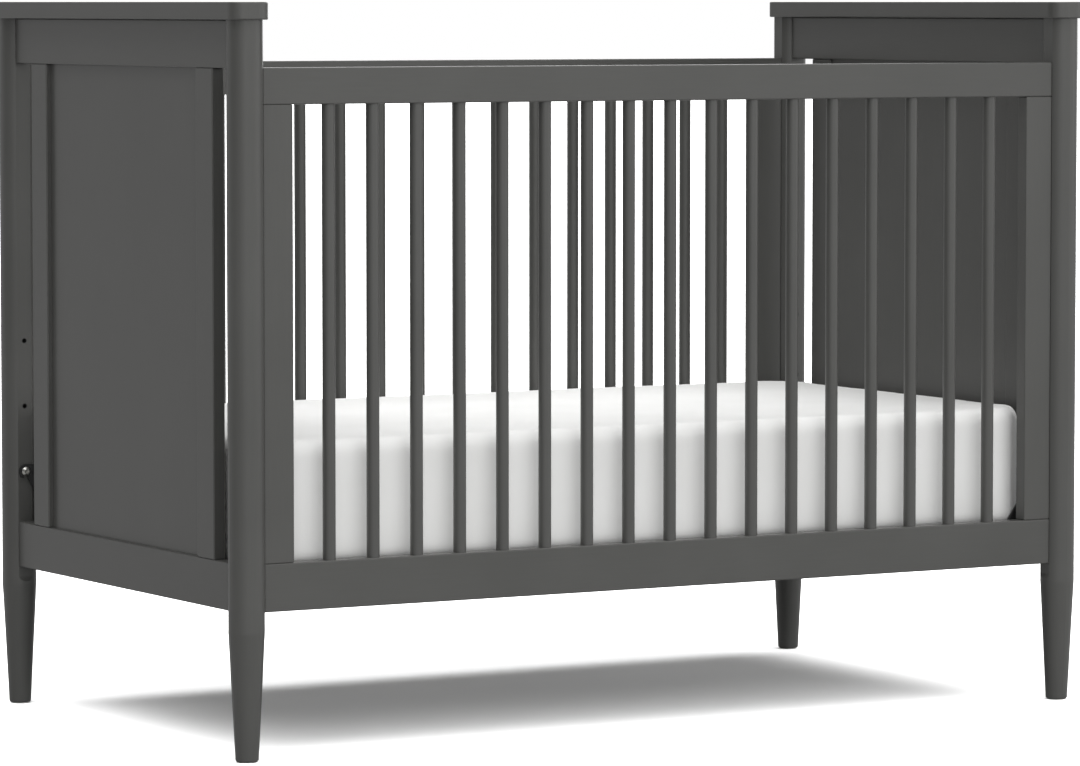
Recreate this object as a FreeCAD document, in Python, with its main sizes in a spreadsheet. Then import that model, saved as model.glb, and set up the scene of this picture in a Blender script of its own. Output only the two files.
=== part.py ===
import FreeCAD, Part
import os
import re
import Sketcher

# Baby crib: two panelled ends under flat caps, two fixed spindle sides and a steel
# spring deck that hooks onto bolts in the four posts.  X runs along the crib, Y from
# front to back, Z up; the origin is the middle of the footprint, on the floor.

doc = FreeCAD.newDocument("BabyCrib")
sheet = doc.addObject("Spreadsheet::Sheet", "Sizes")

DRIVING = (
    # overall layout
    ("post_pitch_x", 1346, "post centre to post centre along the crib"),
    ("post_pitch_y", 735.5, "post centre to post centre across the crib"),
    ("post_top", 1007.6, "height of the post tops, where the caps sit"),
    # posts
    ("post_radius", 25, "turned post"),
    ("foot_radius", 16, "end of the tapered foot"),
    ("foot_round", 1.5, "eased edge under the foot"),
    ("taper_top", 177, "height where the taper starts"),
    ("flat_deep", 2.6, "depth of the milled flats that the rails butt on"),
    ("flat_end", 190, "height where the flats start to run out"),
    ("flat_runout", 14, "radius of the run-out at the end of a flat"),
    # rails, stiles and caps
    ("rail_thick", 22, "thickness of every rail"),
    ("low_rail_base", 204, "underside of all four bottom rails"),
    ("low_rail_tall", 66, "height of all four bottom rails"),
    ("side_rail_top", 943, "top of the front and back top rails"),
    ("side_rail_tall", 50, "height of the front and back top rails"),
    ("end_rail_tall", 65.6, "height of the end top rails"),
    ("side_stile_wide", 45.5, "stile between the rails of a side, beside the post"),
    ("end_stile_wide", 51, "stile of an end"),
    ("end_stile_thick", 18, "thickness of an end stile"),
    ("end_gap", 53.5, "open gap between a post's flat and the end stile"),
    ("ease", 1.8, "eased edges of rails and stiles"),
    ("cap_thick", 24, "cap board"),
    ("cap_over", 4.5, "cap overhang past the post"),
    ("cap_corner", 22, "plan radius of the cap corners"),
    ("cap_ease", 2, "eased edges of the cap"),
    # end panels, in grooves
    ("panel_thick", 6, "end panel"),
    ("panel_recess", 7.5, "end panel behind the outer face of its stiles"),
    ("groove_deep", 10, "panel groove"),
    ("tongue", 9, "how far panel and stile tongues enter a groove"),
    ("tongue_inset", 6, "tongue shoulder at a stile's outer edge"),
    # spindles
    ("spindle_radius", 9, "spindle between the rails"),
    ("spindle_tenon", 6, "radius of the spindle ends in the rails"),
    ("tenon_long", 14, "length of a spindle end"),
    # dowels
    ("dowel_radius", 5, "dowels of the ends and the caps"),
    ("dowel_in_rail", 17, "dowel length inside a rail"),
    ("dowel_in_cap", 12, "dowel length inside a cap"),
    ("dowel_half_gap", 17, "half of the spacing of a pair of dowels in a rail"),
    ("pin_radius", 4, "dowels of the sides"),
    ("pin_half_gap", 11, "half of the spacing of the pins at a side stile"),
    ("pin_offset", 15, "pin above the cam stud at a side rail's end"),
    ("pin_in_stile", 17, "pin length inside a side stile"),
    # knock-down fittings
    ("stud_radius", 2.5, "cam stud"),
    ("stud_in_post", 12, "cam stud length inside a post"),
    ("stud_reach", 34, "cam axis from the rail end"),
    ("stud_bore", 4, "bore for the stud in a rail end"),
    ("stud_head", 3.4, "head of the cam stud"),
    ("stud_head_long", 4, "length of the stud head"),
    ("cam_radius", 7.5, "cam lock"),
    ("cam_past_stud", 1.1, "cam lock past the head of its stud"),
    ("cam_slot", 1.4, "width of the screwdriver slot"),
    # mattress support hardware
    ("hook_height", 344, "lowest hanger bolt above the floor"),
    ("hook_step", 96, "spacing of the three bolt heights"),
    ("insert_radius", 4, "threaded insert"),
    ("insert_long", 13, "threaded insert length"),
    ("bolt_radius", 3, "hanger bolt shank"),
    ("bolt_in_post", 12, "bolt length inside a post"),
    ("bolt_head", 6.4, "radius of the bolt head"),
    ("bolt_head_tall", 3.6, "height of the domed bolt head"),
    ("hex_reach", 2, "hexagon socket, middle to flat"),
    ("hex_deep", 2, "hexagon socket depth"),
    ("hanger_thick", 3, "hanger plate"),
    ("hanger_round", 10.5, "rounded hook end of the hanger"),
    ("hanger_drop", 82, "bolt axis down to the top of the support rails"),
    ("hanger_shoulder", 36, "bolt axis down to where the hanger's edge turns upright"),
    ("hanger_foot", 60, "length of the hanger on the support rail"),
    ("hanger_neck", 13, "width of the hanger beside its hook slot"),
    # mattress support
    ("deck_inset", 18, "post axis to the end of the support frame, along X"),
    ("angle_tall", 28, "upright leg of the support rails"),
    ("angle_wide", 22, "level leg of the support rails"),
    ("angle_thick", 2, "support rail steel"),
    ("wire_radius", 1.6, "deck wires"),
    ("wire_drop", 5.5, "wire axis below the top of the support rails"),
    ("spring_radius", 4.5, "deck springs"),
    ("spring_long", 38, "length of a deck spring"),
    # mattress
    ("mattress_end_gap", 7, "mattress to the plane of the end rails"),
    ("mattress_side_gap", 10.75, "mattress to the plane of the side rails"),
    ("mattress_thick", 166, "mattress thickness"),
    ("mattress_corner", 80, "plan radius of the mattress corners"),
    ("mattress_round", 24, "rounding of the upper edges"),
    ("mattress_under", 12, "rounding of the lower edges"),
    # feet
    ("glide_radius", 12, "foot glide"),
    ("glide_tall", 1.5, "foot glide thickness"),
    ("glide_stem", 2.5, "radius of the glide's nail"),
    ("glide_stem_long", 14, "length of the glide's nail"),
    # fits
    ("fit", 0.05, "radial clearance of dowels, tenons, inserts and studs"),
    ("slack", 0.5, "clearance at the bottom of a hole"),
    ("groove_fit", 0.1, "clearance beside a panel or tongue in its groove"),
    ("slide_gap", 0.2, "clearance each side of a hanger plate"),
    ("hook_gap", 0.3, "radial clearance of a hanger slot on its bolt"),
    ("rest_gap", 0.5, "mattress above the support rails"),
    ("overrun", 2, "how far a cutter runs past the face that it cuts"),
)
spindle_count = 17
hook_heights = 3
long_wires = 9
cross_wires = 13

for row, (alias, size, note) in enumerate(DRIVING, start=1):
    sheet.set("A%d" % row, str(size))
    sheet.setAlias("A%d" % row, alias)
    sheet.set("B%d" % row, note)
doc.recompute()

ALIASES = {alias for alias, size, note in DRIVING}
DERIVED = {  # sizes that follow a driving one
    "post_flat": "(post_radius - flat_deep)",
    "dowel_in_post": "(0.6 * post_radius)",
    "pin_in_rail": "(0.28 * side_rail_tall)",
    "cam_deep": "(rail_thick / 2 + stud_head + cam_past_stud)",
}
parts = {}


def sized(text):
    """The text with each derived size written out and each alias written as a cell of the sheet."""
    written = re.sub(r"[a-z_]+", lambda word: DERIVED.get(word.group(), word.group()), str(text))
    return re.sub(r"[a-z_]+", lambda word: "Sizes." + word.group() if word.group() in ALIASES
                  else word.group(), written)


def number(text):
    """What an expression comes to now."""
    return float(sheet.evalExpression(sized(text)))


# Places that several pieces share, as expressions of the driving sizes.
post_x = "(post_pitch_x / 2)"
post_y = "(post_pitch_y / 2)"
low_rail_mid = "(low_rail_base + low_rail_tall / 2)"
low_rail_top = "(low_rail_base + low_rail_tall)"
side_rail_mid = "(side_rail_top - side_rail_tall / 2)"
side_rail_low = "(side_rail_top - side_rail_tall)"
end_rail_low = "(post_top - end_rail_tall)"
end_rail_mid = "(post_top - end_rail_tall / 2)"
end_rail_long = "(post_pitch_y - 2 * post_flat)"
side_rail_long = "(post_pitch_x - 2 * post_flat)"
end_stile_edge = "(post_pitch_y / 2 - post_flat - end_gap)"
end_stile_mid = "(%s - end_stile_wide / 2)" % end_stile_edge
end_stile_shift = "((rail_thick - end_stile_thick) / 2)"
panel_shift = "(rail_thick / 2 - panel_recess - panel_thick / 2)"
side_stile_mid = "(post_pitch_x / 2 - post_flat - side_stile_wide / 2)"
side_clear = "(post_pitch_x - 2 * post_flat - 2 * side_stile_wide)"
spindle_pitch = "((%s + 2 * spindle_radius) / %d)" % (side_clear, spindle_count + 1)
deck_top = "(hook_height - hanger_drop)"
hanger_face = "(post_pitch_y / 2 - post_flat - slide_gap)"
deck_half_y = "(post_pitch_y / 2 - post_flat - slide_gap - hanger_thick)"
deck_half_x = "(post_pitch_x / 2 - deck_inset)"


def place(thing, x="0", y="0", z="0"):
    """Bind where a piece stands."""
    for axis, text in zip("xyz", (x, y, z)):
        thing.setExpression("Placement.Base." + axis, sized(text))


def keep(label, thing, x="0", y="0", z="0"):
    """Name a finished sub-part, place it and list it for export."""
    thing.Label = label
    place(thing, x, y, z)
    parts[label] = thing
    return thing


# ---- sketches and PartDesign features ----

def body(name):
    made = doc.addObject("PartDesign::Body", name + "_body")
    made.AllowCompound = True
    return made


def sketch(owner, role, away="0", across="0", up="0"):
    """A sketch on an origin plane of its own body, moved along the plane's axes."""
    plane = [face for face in owner.Origin.OriginFeatures if face.Role == role][0]
    drawn = owner.newObject("Sketcher::SketchObject", owner.Name + "_sketch")
    drawn.AttachmentSupport = (plane, [""])
    drawn.MapMode = "FlatFace"
    for axis, text in zip("xyz", (across, up, away)):
        drawn.setExpression("AttachmentOffset.Base." + axis, sized(text))
    return drawn


def hold(drawn, kind, axis, index, end, text):
    """Hold one coordinate of a sketch point at an expression, or on the axis."""
    if text == "0":
        drawn.addConstraint(Sketcher.Constraint("PointOnObject", index, end, axis))
    else:
        held = drawn.addConstraint(Sketcher.Constraint(kind, -1, 1, index, end, number(text)))
        drawn.setExpression("Constraints[%d]" % held, sized(text))


def pin_level(drawn, index, end, y):
    hold(drawn, "DistanceY", -1, index, end, y)


def pin_point(drawn, index, end, x, y):
    hold(drawn, "DistanceX", -2, index, end, x)
    pin_level(drawn, index, end, y)


def outline(drawn, points):
    """A closed outline.  A point (x, y) starts a straight side; (x, y, mx, my, level)
    starts an arc past mx, my whose centre is at that level."""
    count = len(points)
    places = [FreeCAD.Vector(number(point[0]), number(point[1]), 0) for point in points]
    ends = []
    for index, point in enumerate(points):
        start, end = places[index], places[(index + 1) % count]
        order = (1, 2)
        if len(point) == 2:
            curve = Part.LineSegment(start, end)
        else:
            middle = FreeCAD.Vector(number(point[2]), number(point[3]), 0)
            # A sketch counts its arcs anticlockwise, so the others start at their far end.
            if (middle - start).cross(end - middle).z < 0:
                start, end, order = end, start, (2, 1)
            curve = Part.Arc(start, middle, end)
        drawn.addGeometry(curve, False)
        ends.append(order)
    for index, point in enumerate(points):
        after = (index + 1) % count
        drawn.addConstraint(Sketcher.Constraint("Coincident", index, ends[index][1], after, ends[after][0]))
        pin_point(drawn, index, ends[index][0], point[0], point[1])
        if len(point) == 5:
            pin_level(drawn, index, 3, point[4])


def rectangle(drawn, wide, tall):
    """A rectangle centred on the sketch."""
    left, right = "-(%s) / 2" % wide, "(%s) / 2" % wide
    low, high = "-(%s) / 2" % tall, "(%s) / 2" % tall
    outline(drawn, [(left, low), (right, low), (right, high), (left, high)])


def circles(drawn, spots, radius):
    for x, y in spots:
        centre = FreeCAD.Vector(number(x), number(y), 0)
        index = drawn.addGeometry(Part.Circle(centre, FreeCAD.Vector(0, 0, 1), number(radius)), False)
        held = drawn.addConstraint(Sketcher.Constraint("Radius", index, number(radius)))
        drawn.setExpression("Constraints[%d]" % held, sized(radius))
        pin_point(drawn, index, 3, x, y)


def pad(owner, drawn, length, midplane=True, backwards=False):
    made = owner.newObject("PartDesign::Pad", owner.Name + "_pad")
    made.Profile = drawn
    made.SideType = "Symmetric" if midplane else "One side"
    made.Reversed = backwards
    made.setExpression("Length", sized(length))
    doc.recompute()
    return made


def cut(owner, drawn, length, midplane=False, backwards=False):
    """Pocket the sketch by a length, and make sure that it cuts."""
    before = owner.Shape.Volume
    made = owner.newObject("PartDesign::Pocket", owner.Name + "_pocket")
    made.Profile = drawn
    made.SideType = "Symmetric" if midplane else "One side"
    made.Reversed = backwards
    made.setExpression("Length", sized(length))
    doc.recompute()
    if owner.Shape.Volume > before - 0.5:
        raise ValueError("a pocket cuts nothing in " + owner.Name)
    return made


def revolve(owner, drawn):
    made = owner.newObject("PartDesign::Revolution", owner.Name + "_turned")
    made.Profile = drawn
    made.ReferenceAxis = (drawn, ["V_Axis"])
    made.Angle = 360
    doc.recompute()
    return made


def ease_edges(owner, base, radius, wanted=None):
    """Round the edges of a feature that the test accepts, or all of them."""
    names = ["Edge%d" % (index + 1) for index, edge in enumerate(base.Shape.Edges)
             if wanted is None or wanted(edge)]
    made = owner.newObject("PartDesign::Fillet", owner.Name + "_eased")
    made.Base = (base, names)
    made.setExpression("Radius", sized(radius))
    doc.recompute()
    return made


# ---- wooden bars ----
# The plane that a bar's section is drawn on, by the axis that the bar runs along.
SECTION_PLANES = {"x": "YZ_Plane", "y": "XZ_Plane", "z": "XY_Plane"}


def bar(name, along, wide, tall, length, round_over="ease"):
    """A square-section bar centred on its own origin, with eased edges."""
    made = body(name)
    section = sketch(made, SECTION_PLANES[along])
    rectangle(section, wide, tall)
    ease_edges(made, pad(made, section, length), round_over)
    return made


# How far each post is turned, so that its two flats face the rails.
POST_TURNS = {(1, 1): 0, (-1, 1): 90, (-1, -1): 180, (1, -1): 270}


def make_post(label, x_side, y_side):
    """A turned post: tapered foot, milled flats towards its own -X and -Y, and its bores."""
    made = body(label)
    profile = sketch(made, "XZ_Plane")
    outline(profile, [("0", "glide_tall"), ("foot_radius - foot_round", "glide_tall"),
                      ("foot_radius", "glide_tall + foot_round"), ("post_radius", "taper_top"),
                      ("post_radius", "post_top"), ("0", "post_top")])
    revolve(made, profile)
    # Each flat ends in a run-out whose centre is level with the flat's end.
    outer = "-(post_radius + flat_runout / 4)"
    reach = "sqrt(flat_runout^2 - (flat_runout * 3 / 4 - post_radius + post_flat)^2)"
    over = "post_top + overrun"
    for role in ("XZ_Plane", "YZ_Plane"):
        side = sketch(made, role)
        outline(side, [("-post_flat", "flat_end"), ("-post_flat", over), (outer, over),
                       (outer, "flat_end - " + reach,
                        "-(post_flat + flat_runout * (1 - cos(15)))", "flat_end - flat_runout * sin(15)",
                        "flat_end")])
        cut(made, side, "4 * post_radius", midplane=True)

    def bore(role, spots, radius, depth):
        """Holes into the flat that the plane faces."""
        facing = 1 if role == "XZ_Plane" else -1
        holes = sketch(made, role, "%d * (post_flat - %s)" % (facing, depth))
        circles(holes, spots, radius)
        cut(made, holes, depth + " + overrun", backwards=(facing > 0))

    # On two of the corners the end frame meets the other flat.
    end_role, side_role = "XZ_Plane", "YZ_Plane"
    if x_side != y_side:
        end_role, side_role = side_role, end_role
    end_dowels = [("0", "%s %s dowel_half_gap" % (mid, way)) for mid in (low_rail_mid, end_rail_mid)
                  for way in "+-"]
    bore(end_role, end_dowels, "dowel_radius + fit", "(dowel_in_post + slack)")
    hooks = [("0", "hook_height + %d * hook_step" % step) for step in range(hook_heights)]
    bore(end_role, hooks, "insert_radius + fit", "(insert_long + slack)")
    studs = [("0", low_rail_mid), ("0", side_rail_mid)]
    bore(side_role, studs, "stud_radius + fit", "(stud_in_post + slack)")
    pins = [("0", "%s + pin_offset" % mid) for mid in (low_rail_mid, side_rail_mid)]
    bore(side_role, pins, "pin_radius + fit", "(dowel_in_post + slack)")
    # The cap's dowel enters from above and the glide's nail from below.
    top = sketch(made, "XY_Plane", "post_top - dowel_in_post - slack")
    circles(top, [("0", "0")], "dowel_radius + fit")
    cut(made, top, "dowel_in_post + slack + overrun", backwards=True)
    low = sketch(made, "XY_Plane", "glide_tall + glide_stem_long + slack")
    circles(low, [("0", "0")], "glide_stem + fit")
    cut(made, low, "glide_stem_long + slack + overrun")
    made.Placement = FreeCAD.Placement(
        FreeCAD.Vector(), FreeCAD.Rotation(POST_TURNS[x_side, y_side], 0, 0))
    return keep(label, made, "%d * %s" % (x_side, post_x), "%d * %s" % (y_side, post_y))


def make_cap(label, side):
    """A cap board that lies over two posts and the end's top rail."""
    made = body(label)
    half_x = "(post_radius + cap_over)"
    half_y = "(post_pitch_y / 2 + post_radius + cap_over)"
    blank = sketch(made, "XY_Plane", "cap_thick / 2")
    rectangle(blank, "2 * " + half_x, "2 * " + half_y)
    slab = pad(made, blank, "cap_thick")
    rounded = ease_edges(made, slab, "cap_corner", upright)
    ease_edges(made, rounded, "cap_ease", lambda edge: not upright(edge))
    sockets = sketch(made, "XY_Plane", "dowel_in_cap + slack")
    circles(sockets, [("0", post_y), ("0", "-" + post_y)], "dowel_radius + fit")
    cut(made, sockets, "dowel_in_cap + slack + overrun")
    return keep(label, made, "%d * %s" % (side, post_x), "0", "post_top")


def upright(edge):
    """Whether an edge is a straight one along Z."""
    ends = [vertex.Point for vertex in edge.Vertexes]
    return len(ends) == 2 and (ends[0] - ends[1]).cross(FreeCAD.Vector(0, 0, 1)).Length < 1e-6


def groove_rail(owner, side, faces_up):
    """Plough the stopped panel groove along an end rail."""
    level = "(%s) / 2 - groove_deep" % ("low_rail_tall" if faces_up else "end_rail_tall")
    half = "(%s - tongue_inset + slack)" % end_stile_edge
    shift = "%d * %s" % (side, panel_shift)
    track = sketch(owner, "XY_Plane", level if faces_up else "-(%s)" % level, shift)
    rectangle(track, "panel_thick + 2 * groove_fit", "2 * " + half)
    cut(owner, track, "groove_deep + overrun", backwards=faces_up)


def make_end(word, side):
    """The rails, stiles and panel of one end; side is -1 on the left, 1 on the right."""
    at = "%d * %s" % (side, post_x)
    for level, tall, mid in (("bottom", "low_rail_tall", low_rail_mid), ("top", "end_rail_tall", end_rail_mid)):
        label = "%s_end_%s_rail" % (word, level)
        rail = bar(label, "y", "rail_thick", tall, end_rail_long)
        groove_rail(rail, side, level == "bottom")
        for way in (-1, 1):
            # XZ sketches face -Y, so a bore from the far end starts on the other side.
            start = sketch(rail, "XZ_Plane", "%d * (%s / 2 - dowel_in_rail - slack)" % (-way, end_rail_long))
            circles(start, [("0", "dowel_half_gap"), ("0", "-dowel_half_gap")], "dowel_radius + fit")
            cut(rail, start, "dowel_in_rail + slack + overrun", backwards=(way < 0))
        keep(label, rail, at, "0", mid)
    stile_mid_z = "((%s + %s) / 2)" % (low_rail_top, end_rail_low)
    stile_long = "(%s - %s)" % (end_rail_low, low_rail_top)
    # The panel sits nearer the outside, so its tongue is off the stile's own middle.
    tongue_shift = "(end_stile_thick / 2 - panel_recess - panel_thick / 2)"
    for where, way in (("front", -1), ("back", 1)):
        label = "%s_end_%s_stile" % (word, where)
        stile = bar(label, "z", "end_stile_thick", "end_stile_wide", stile_long)
        tenon = sketch(stile, "XY_Plane", "0", "%d * %s" % (side, tongue_shift),
                       "%d * (-tongue_inset) / 2" % way)
        rectangle(tenon, "panel_thick", "end_stile_wide - tongue_inset")
        pad(stile, tenon, "%s + 2 * tongue" % stile_long)
        track = sketch(stile, "XY_Plane", "0", "%d * %s" % (side, tongue_shift),
                       "%d * (-end_stile_wide / 2)" % way)
        rectangle(track, "panel_thick + 2 * groove_fit", "2 * groove_deep")
        cut(stile, track, "%s + 2 * tongue + 2 * overrun" % stile_long, midplane=True)
        keep(label, stile, "%s + %d * %s" % (at, side, end_stile_shift), "%d * %s" % (way, end_stile_mid),
             stile_mid_z)
    panel = body(word + "_end_panel")
    face = sketch(panel, "YZ_Plane")
    rectangle(face, "2 * (%s - end_stile_wide + tongue)" % end_stile_edge, stile_long + " + 2 * tongue")
    pad(panel, face, "panel_thick")
    keep(word + "_end_panel", panel, "%s + %d * %s" % (at, side, panel_shift), "0", stile_mid_z)


def make_side(word, way):
    """The rails and stiles of the front (way -1) or the back (way 1)."""
    spindle_spots = ["%d * %s" % (index - spindle_count // 2, spindle_pitch) for index in range(spindle_count)]
    for level, tall, mid in (("bottom", "low_rail_tall", low_rail_mid), ("top", "side_rail_tall", side_rail_mid)):
        label = "%s_%s_rail" % (word, level)
        rail = bar(label, "x", "rail_thick", tall, side_rail_long)
        inner = 1 if level == "bottom" else -1
        # Blind holes for the spindle ends and for the pins of the stiles.
        depth_plane = "%d * ((%s) / 2 - tenon_long - slack)" % (inner, tall)
        holes = sketch(rail, "XY_Plane", depth_plane)
        circles(holes, [(spot, "0") for spot in spindle_spots], "spindle_tenon + fit")
        cut(rail, holes, "tenon_long + slack + overrun", backwards=(inner > 0))
        depth_plane = "%d * ((%s) / 2 - pin_in_rail - slack)" % (inner, tall)
        holes = sketch(rail, "XY_Plane", depth_plane)
        spots = [("%d * %s %s pin_half_gap" % (end, side_stile_mid, sign), "0") for end in (-1, 1) for sign in "+-"]
        circles(holes, spots, "pin_radius + fit")
        cut(rail, holes, "pin_in_rail + slack + overrun", backwards=(inner > 0))
        for end in (-1, 1):
            for height, radius, depth in (("0", "stud_bore", "(stud_reach)"),
                                          ("pin_offset", "pin_radius + fit", "(dowel_in_rail + slack)")):
                bore = sketch(rail, "YZ_Plane", "%d * (%s / 2 - %s)" % (end, side_rail_long, depth))
                circles(bore, [("0", height)], radius)
                cut(rail, bore, depth + " + overrun", backwards=(end > 0))
        # Cam sockets from the face inside the crib.
        sockets = sketch(rail, "XZ_Plane", "%d * (rail_thick / 2 - cam_deep - fit)" % way)
        spots = [("%d * (%s / 2 - stud_reach)" % (end, side_rail_long), "0") for end in (-1, 1)]
        circles(sockets, spots, "cam_radius + fit")
        cut(rail, sockets, "cam_deep + fit + overrun", backwards=(way > 0))
        keep(label, rail, "0", "%d * %s" % (way, post_y), mid)
    stile_mid_z = "((%s + %s) / 2)" % (low_rail_top, side_rail_low)
    stile_long = "(%s - %s)" % (side_rail_low, low_rail_top)
    for where, end in (("left", -1), ("right", 1)):
        label = "%s_%s_stile" % (word, where)
        stile = bar(label, "z", "side_stile_wide", "rail_thick", stile_long)
        for up in (-1, 1):
            holes = sketch(stile, "XY_Plane", "%d * (%s / 2 - pin_in_stile - slack)" % (up, stile_long))
            circles(holes, [("pin_half_gap", "0"), ("-pin_half_gap", "0")], "pin_radius + fit")
            cut(stile, holes, "pin_in_stile + slack + overrun", backwards=(up > 0))
        keep(label, stile, "%d * %s" % (end, side_stile_mid), "%d * %s" % (way, post_y), stile_mid_z)


def turn_spindle(owner):
    """A spindle: round between the rails, with a thinner end in each rail."""
    profile = sketch(owner, "XZ_Plane")
    base = low_rail_top + " - tenon_long"
    tip = side_rail_low + " + tenon_long"
    outline(profile, [("0", base), ("spindle_tenon", base), ("spindle_tenon", low_rail_top),
                      ("spindle_radius", low_rail_top), ("spindle_radius", side_rail_low),
                      ("spindle_tenon", side_rail_low), ("spindle_tenon", tip), ("0", tip)])
    return revolve(owner, profile)


def make_spindles():
    """Seventeen separate spindles in front, and the matching row at the back as one group."""
    first = -(spindle_count // 2)
    for index in range(spindle_count):
        label = "front_spindle_%02d" % (index + 1)
        made = body(label)
        turn_spindle(made)
        keep(label, made, "%d * %s" % (first + index, spindle_pitch), "-" + post_y)
    row = body("back_spindles")
    turned = turn_spindle(row)
    repeat = row.newObject("PartDesign::LinearPattern", "back_spindles_row")
    repeat.Originals = [turned]
    repeat.Direction = (turned.Profile[0], ["H_Axis"])
    repeat.setExpression("Length", sized("%d * %s" % (spindle_count - 1, spindle_pitch)))
    repeat.Occurrences = spindle_count
    row.Tip = repeat
    keep("back_spindles", row, "%d * %s" % (first, spindle_pitch), post_y)


# ---- groups of small pieces, from primitives ----
TURNS = {"x": FreeCAD.Rotation(0, 90, 0), "-x": FreeCAD.Rotation(0, -90, 0),
         "y": FreeCAD.Rotation(0, 0, -90), "-y": FreeCAD.Rotation(0, 0, 90),
         "z": FreeCAD.Rotation(), "-z": FreeCAD.Rotation(FreeCAD.Vector(1, 0, 0), 180)}


def rod(name, towards, radius, length, x, y, z):
    """A cylinder that starts at x, y, z and runs the given way."""
    made = doc.addObject("Part::Cylinder", name)
    made.setExpression("Radius", sized(radius))
    made.setExpression("Height", sized(length))
    made.Placement = FreeCAD.Placement(FreeCAD.Vector(), TURNS[towards])
    place(made, x, y, z)
    return made


def block(name, long, wide, tall, x, y, z):
    """A box whose lowest corner is at x, y, z."""
    made = doc.addObject("Part::Box", name)
    for prop, text in (("Length", long), ("Width", wide), ("Height", tall)):
        made.setExpression(prop, sized(text))
    place(made, x, y, z)
    return made


def minus(name, whole, tool):
    made = doc.addObject("Part::Cut", name)
    made.Base = whole
    made.Tool = tool
    return made


def plus(name, *pieces):
    made = doc.addObject("Part::MultiFuse", name)
    made.Shapes = list(pieces)
    return made


def group(label, pieces):
    made = doc.addObject("Part::Compound", label + "_group")
    made.Links = pieces
    made.Label = label
    parts[label] = made


def towards_middle(sign, axis):
    """The way that leads from a corner back to the middle of the crib."""
    return axis if sign < 0 else "-" + axis


def outwards(sign, axis):
    return "-" + axis if sign < 0 else axis


corners = [(x_side, y_side) for x_side in (-1, 1) for y_side in (-1, 1)]


def make_dowels():
    pieces = []
    for x_side, y_side in corners:
        at_x = "%d * %s" % (x_side, post_x)
        at_y = "%d * %s" % (y_side, post_y)
        # end rails into the posts, along Y
        start_y = "%d * (%s - post_flat + dowel_in_post)" % (y_side, post_y)
        for mid in (low_rail_mid, end_rail_mid):
            for way in "+-":
                pieces.append(rod("end_dowel", towards_middle(y_side, "y"), "dowel_radius",
                                  "dowel_in_post + dowel_in_rail", at_x, start_y,
                                  "%s %s dowel_half_gap" % (mid, way)))
        # cap onto the post
        pieces.append(rod("cap_dowel", "z", "dowel_radius", "dowel_in_post + dowel_in_cap",
                          at_x, at_y, "post_top - dowel_in_post"))
        # side rails into the posts, along X
        start_x = "%d * (%s - post_flat + dowel_in_post)" % (x_side, post_x)
        for mid in (low_rail_mid, side_rail_mid):
            pieces.append(rod("side_pin", towards_middle(x_side, "x"), "pin_radius",
                              "dowel_in_post + dowel_in_rail", start_x, at_y, mid + " + pin_offset"))
        # side stiles between the side rails
        for sign in "+-":
            at_pin = "%d * %s %s pin_half_gap" % (x_side, side_stile_mid, sign)
            pieces.append(rod("stile_pin", "z", "pin_radius", "pin_in_rail + pin_in_stile",
                              at_pin, at_y, low_rail_top + " - pin_in_rail"))
            pieces.append(rod("stile_pin", "-z", "pin_radius", "pin_in_rail + pin_in_stile",
                              at_pin, at_y, side_rail_low + " + pin_in_rail"))
    group("wood_dowels", pieces)


def make_cam_fittings():
    """Eight studs screwed into the posts and the eight cams that draw the side rails on."""
    studs, cams = [], []
    for x_side, y_side in corners:
        at_y = "%d * %s" % (y_side, post_y)
        start_x = "%d * (%s - post_flat + stud_in_post)" % (x_side, post_x)
        head_x = "%d * (%s - post_flat - stud_reach + stud_head_long / 2)" % (x_side, post_x)
        cam_x = "%d * (%s - post_flat - stud_reach)" % (x_side, post_x)
        inner_y = "%d * (%s - rail_thick / 2)" % (y_side, post_y)
        inward = towards_middle(x_side, "x")
        for mid in (low_rail_mid, side_rail_mid):
            shank = rod("stud_shank", inward, "stud_radius", "stud_in_post + stud_reach", start_x, at_y, mid)
            head = rod("stud_knob", inward, "stud_head", "stud_head_long", head_x, at_y, mid)
            studs.append(plus("cam_stud", shank, head))
            disc = rod("cam_disc", outwards(y_side, "y"), "cam_radius", "cam_deep", cam_x, inner_y, mid)
            mouth_x = "%d * (%s - post_flat - stud_reach - stud_head_long)" % (x_side, post_x)
            mouth = rod("cam_mouth", outwards(x_side, "x"), "stud_head + 4 * fit", "2 * cam_radius",
                        mouth_x, at_y, mid)
            slot_y = inner_y if y_side > 0 else inner_y + " - cam_slot"
            slot = block("cam_slot", "1.3 * cam_radius", "cam_slot", "cam_slot",
                         cam_x + " - 0.65 * cam_radius", slot_y, mid + " - cam_slot / 2")
            cams.append(minus("cam_lock", disc, plus("cam_cuts", mouth, slot)))
    group("cam_studs", studs)
    group("cam_locks", cams)


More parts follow.
